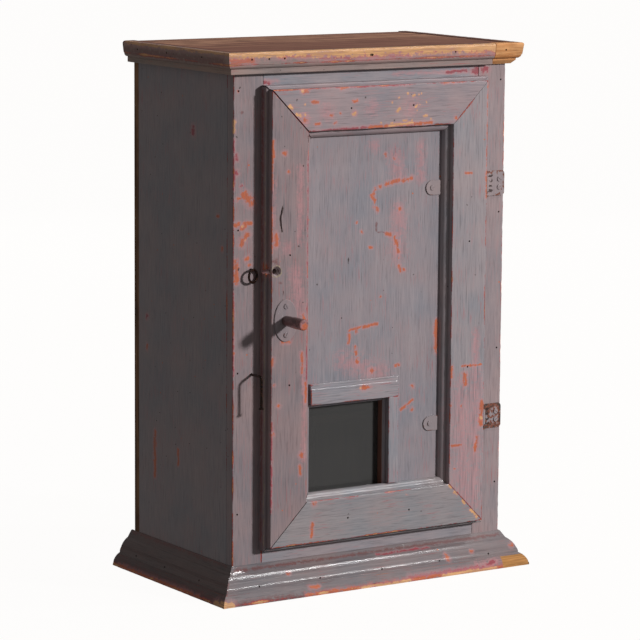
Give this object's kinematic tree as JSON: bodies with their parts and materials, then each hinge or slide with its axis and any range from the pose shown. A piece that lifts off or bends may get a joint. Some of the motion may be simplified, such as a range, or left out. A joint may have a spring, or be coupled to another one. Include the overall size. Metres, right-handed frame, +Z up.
{
  "type": "jelly cupboard",
  "caption": "Small painted country cupboard with moulded base and cornice, a strap-hinged framed door with a low glazed window, peg latch, turn nail and inner shelves.",
  "frame": {"origin": "on the floor, under the middle of the overall box (knob and base included)", "axes": "+X to the right seen from the front, +Y from the door to the back, +Z up"},
  "size_m": [0.627, 0.4178, 0.914],
  "materials": {
    "painted_pine": "worn grey-lilac oil paint over older red and salmon coats on pine",
    "bare_pine": "old bare pine, worn and unpainted",
    "raw_top": "raw pine, brown with age and dust",
    "inside_pine": "unpainted pine, darkened with age",
    "peg_wood": "whittled hardwood peg with worn red paint",
    "painted_iron": "iron painted over with the case",
    "dark_iron": "dark oxidised iron",
    "old_glass": "old window glass, slightly grey"
  },
  "bodies": {
    "case": {"side_left": "painted_pine", "side_right": "painted_pine", "face_stile_left": "painted_pine", "face_stile_right": "painted_pine", "face_rail_top": "painted_pine", "face_rail_bottom": "painted_pine", "cornice_front": "painted_pine", "cornice_left": "painted_pine", "cornice_right": "painted_pine", "base_front": "painted_pine", "base_left": "painted_pine", "base_right": "painted_pine", "cornice_front_patch": "bare_pine", "top_board": "raw_top", "bottom_board": "inside_pine", "back_board_1": "inside_pine", "back_board_2": "inside_pine", "back_board_3": "inside_pine", "shelf_1": "inside_pine", "shelf_2": "inside_pine", "shelf_3": "inside_pine", "shelf_cleat_left_1": "inside_pine", "shelf_cleat_right_1": "inside_pine", "shelf_cleat_left_2": "inside_pine", "shelf_cleat_right_2": "inside_pine", "shelf_cleat_left_3": "inside_pine", "shelf_cleat_right_3": "inside_pine", "hinge_leaf_upper": "painted_iron", "hinge_pin_upper": "painted_iron", "hinge_leaf_lower": "painted_iron", "hinge_pin_lower": "painted_iron", "leaf_screws": "painted_iron", "screw_eye": "dark_iron", "cornice_nails": "dark_iron", "base_nails": "dark_iron", "face_nails": "dark_iron", "back_nails": "dark_iron"},
    "door": {"door_panel": "painted_pine", "door_stile_left": "painted_pine", "door_stile_right": "painted_pine", "door_rail_top": "painted_pine", "door_rail_bottom": "painted_pine", "window_strip_top": "painted_pine", "window_strip_right": "painted_pine", "glass_pane": "old_glass", "glazing_bead_left": "inside_pine", "glazing_bead_right": "inside_pine", "glazing_bead_top": "inside_pine", "glazing_bead_bottom": "inside_pine", "hinge_strap_upper": "painted_iron", "hinge_strap_lower": "painted_iron", "strap_screws": "painted_iron", "escutcheon_plate": "painted_iron", "escutcheon_screws": "painted_iron", "frame_nails": "dark_iron"},
    "knob": {"knob_peg": "peg_wood", "latch_bar": "inside_pine", "latch_pin": "dark_iron"},
    "turn_nail": {"turn_nail": "dark_iron"}
  },
  "joints": [
    {"name": "door_hinge", "type": "hinge", "parent": "case", "child": "door", "pos_m": [0.2335, -0.12978, 0.4685], "axis": [0, 0, 1], "range_deg": [0, 105]},
    {"name": "latch_turn", "type": "hinge", "parent": "door", "child": "knob", "pos_m": [-0.188, -0.15157, 0.47], "axis": [0, 1, 0], "range_deg": [0, 90]},
    {"name": "nail_turn", "type": "hinge", "parent": "case", "child": "turn_nail", "pos_m": [-0.237, -0.12507, 0.38], "axis": [0, -1, 0], "range_deg": [0, 106]}
  ]
}
